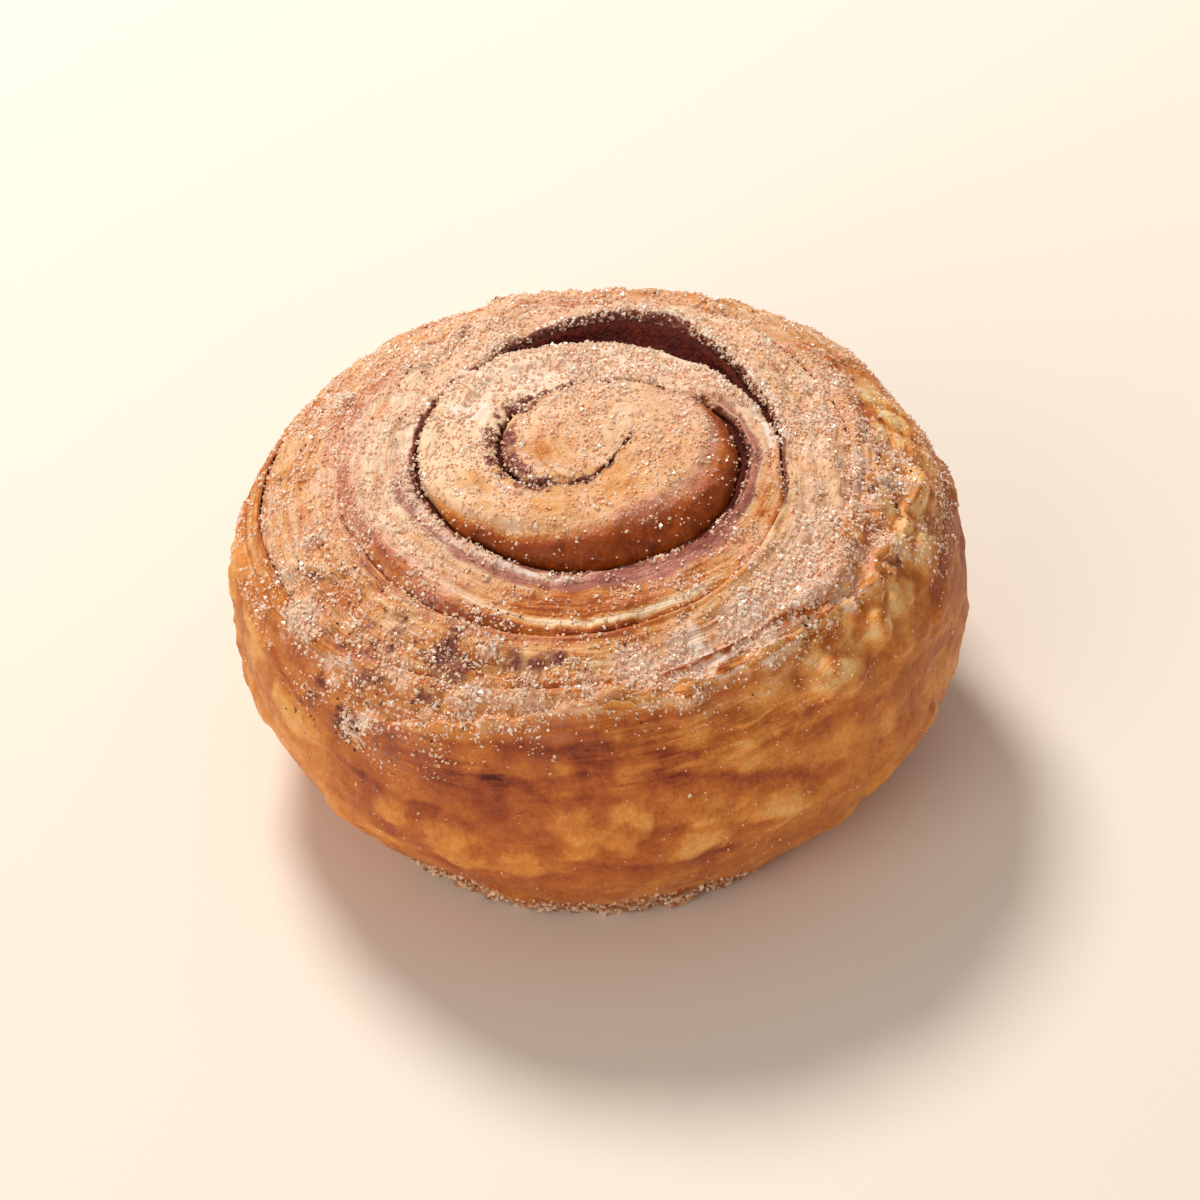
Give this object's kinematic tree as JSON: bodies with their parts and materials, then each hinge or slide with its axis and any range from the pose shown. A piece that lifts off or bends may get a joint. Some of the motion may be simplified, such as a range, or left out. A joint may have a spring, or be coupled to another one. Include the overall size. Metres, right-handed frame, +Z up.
{
  "type": "morning bun",
  "caption": "Round baked bun of coiled laminated dough with a ribbon of cinnamon filling between its turns and a flat base to stand on.",
  "frame": {"origin": "middle of the flat base on the surface the bun stands on", "axes": "+Z up through the swirl, -Y toward the side that the picture shows at the front, +X to its right"},
  "size_m": [0.1072, 0.109, 0.055],
  "materials": {
    "baked_dough": "golden-brown laminated crust, paler and sugared on the cut face",
    "cinnamon_filling": "dark, grainy, slightly moist"
  },
  "bodies": {
    "root": {"dough": "baked_dough", "cinnamon_filling": "cinnamon_filling"}
  },
  "joints": []
}
